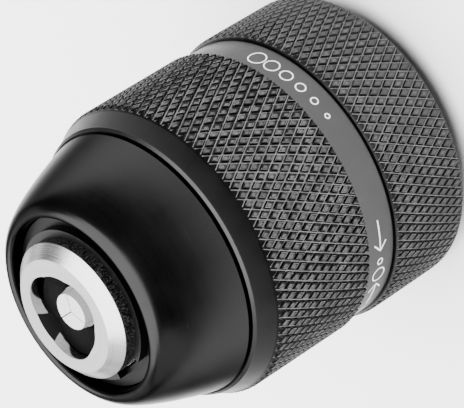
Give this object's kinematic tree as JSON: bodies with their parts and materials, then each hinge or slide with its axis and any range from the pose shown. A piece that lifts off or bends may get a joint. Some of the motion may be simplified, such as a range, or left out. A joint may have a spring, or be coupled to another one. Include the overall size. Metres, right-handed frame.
{
  "type": "drill chuck",
  "caption": "Keyless drill chuck with two knurled sleeves, a tapered nose and three self-centring jaws that a turned front sleeve opens and closes.",
  "frame": {"origin": "centre of the rear face, where the spindle enters", "axes": "+Z along the chuck's axis towards the nose; jaw 3 lies on the -Y side"},
  "size_m": [0.0378, 0.0378, 0.05],
  "materials": {
    "body_steel": "turned steel",
    "dark_sleeve": "blackened satin",
    "dark_cover": "blackened satin",
    "black_cone": "polished black oxide",
    "inner_steel": "machined",
    "spring_steel": "oiled spring steel",
    "bearing_steel": "ground",
    "cage_brass": "pressed",
    "jaw_steel": "hardened, tips ground"
  },
  "bodies": {
    "fixed_set": {"chuck_body": "body_steel", "rear_sleeve": "dark_sleeve", "rear_hub_plate": "inner_steel", "rear_retaining_ring": "spring_steel", "rear_cover": "dark_cover", "snap_ring": "spring_steel", "nose_washer": "inner_steel", "rear_race": "bearing_steel"},
    "front_sleeve_set": {"front_sleeve": "dark_sleeve", "front_insert": "inner_steel", "nose_cone": "black_cone", "nut_half_a": "inner_steel", "nut_half_b": "inner_steel", "nut_band": "inner_steel", "front_race": "bearing_steel"},
    "ball_cage_set": {"ball_cage": "cage_brass", "bearing_balls": "bearing_steel"},
    "jaw_1_set": {"jaw_1": "jaw_steel"},
    "jaw_2_set": {"jaw_2": "jaw_steel"},
    "jaw_3_set": {"jaw_3": "jaw_steel"}
  },
  "joints": [
    {"name": "sleeve_turn", "type": "hinge", "parent": "fixed_set", "child": "front_sleeve_set", "pos_m": [0, 0, 0.02], "axis": [0, 0, 1], "range_deg": [0, 4584]},
    {"name": "cage_turn", "type": "hinge", "parent": "fixed_set", "child": "ball_cage_set", "pos_m": [0, 0, 0.0219], "axis": [0, 0, 1], "range_deg": [0, 2292.1]},
    {"name": "jaw_1_slide", "type": "slide", "parent": "fixed_set", "child": "jaw_1_set", "axis": [0.2314, 0.1336, -0.9636], "range_m": [0, 0.0191]},
    {"name": "jaw_2_slide", "type": "slide", "parent": "fixed_set", "child": "jaw_2_set", "axis": [-0.2314, 0.1336, -0.9636], "range_m": [0, 0.0191]},
    {"name": "jaw_3_slide", "type": "slide", "parent": "fixed_set", "child": "jaw_3_set", "axis": [0, -0.2672, -0.9636], "range_m": [0, 0.0191]}
  ],
  "couplings": [
    {"joint": "cage_turn", "follows": "sleeve_turn", "ratio": 0.5},
    {"joint": "jaw_1_slide", "follows": "sleeve_turn", "m_per_rad": 0.00023873},
    {"joint": "jaw_2_slide", "follows": "sleeve_turn", "m_per_rad": 0.00023873},
    {"joint": "jaw_3_slide", "follows": "sleeve_turn", "m_per_rad": 0.00023873}
  ]
}
